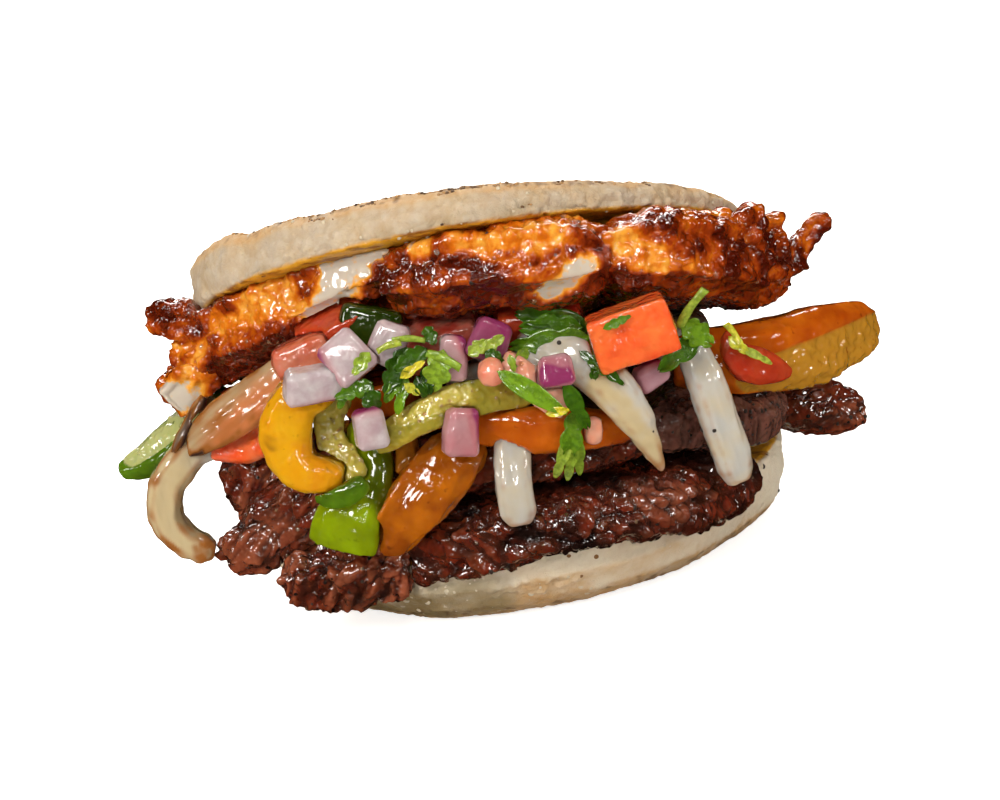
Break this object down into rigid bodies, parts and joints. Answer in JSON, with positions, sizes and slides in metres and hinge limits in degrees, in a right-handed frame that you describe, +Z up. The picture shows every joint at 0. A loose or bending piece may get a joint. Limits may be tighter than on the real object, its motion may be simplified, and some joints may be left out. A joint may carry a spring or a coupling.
{
  "type": "filled arepa sandwich",
  "caption": "Corn cake split in two round grilled steak, fried cheese, soft pepper and onion strips and fresh salsa, resting on its flat base with the open side to the front.",
  "frame": {"origin": "middle of the flat face that the bottom corn half rests on", "axes": "+Z up, -Y towards the open front where the filling spills out, +X along the longest way across, to the right seen from the front"},
  "size_m": [0.1553, 0.1237, 0.0846],
  "materials": {
    "corn": "dry crumbly corn crust with toasted specks",
    "steak": "glazed charred meat",
    "steak_grey": "cooked meat with pepper specks",
    "fried_cheese": "bubbly caramelised crust with golden patches",
    "white_cheese": "soft melted cheese",
    "yellow_pepper": "wet soft pepper",
    "orange_pepper": "wet translucent pepper",
    "green_pepper": "wet pepper skin",
    "olive_pepper": "wet pepper flesh",
    "onion": "translucent cooked onion",
    "charred_onion": "charred edge",
    "red_onion": "raw onion with purple skin edges",
    "tomato": "wet tomato flesh"
  },
  "bodies": {
    "root": {"arepa_bottom": "corn", "arepa_top": "corn", "cheese_corner": "white_cheese", "cheese_left": "fried_cheese", "cheese_middle": "fried_cheese", "cheese_right": "fried_cheese", "onion_centre": "onion", "onion_curl_left": "onion", "onion_deep": "onion", "onion_deep_right": "onion", "onion_low": "onion", "onion_petal_left": "onion", "onion_right": "onion", "onion_sliver": "charred_onion", "pepper_fold_tip": "green_pepper", "pepper_green_behind": "green_pepper", "pepper_green_deep": "green_pepper", "pepper_green_drop": "green_pepper", "pepper_green_long": "olive_pepper", "pepper_green_tip": "green_pepper", "pepper_olive_fold": "olive_pepper", "pepper_orange_deep": "orange_pepper", "pepper_orange_fold": "orange_pepper", "pepper_orange_middle": "orange_pepper", "pepper_orange_right": "orange_pepper", "pepper_orange_sliver": "orange_pepper", "pepper_yellow_curl": "yellow_pepper", "pepper_yellow_deep": "yellow_pepper", "red_onion_behind_herbs": "red_onion", "red_onion_cup": "red_onion", "red_onion_dark": "red_onion", "red_onion_left": "red_onion", "red_onion_low": "red_onion", "red_onion_middle": "red_onion", "red_onion_pink": "red_onion", "red_onion_right": "red_onion", "red_onion_upper_left": "red_onion", "steak_left_low": "steak", "steak_left_top": "steak", "steak_lower": "steak", "steak_lower_left": "steak", "steak_right_block": "steak_grey", "steak_right_end": "steak", "steak_upper": "steak", "tomato_big": "tomato", "tomato_blob": "tomato", "tomato_dark_behind": "tomato", "tomato_drop": "tomato", "tomato_flesh": "tomato", "tomato_pink": "tomato", "tomato_red_behind": "tomato", "tomato_right": "tomato", "tomato_right_behind": "tomato", "tomato_slice_left": "tomato"}
  },
  "joints": []
}
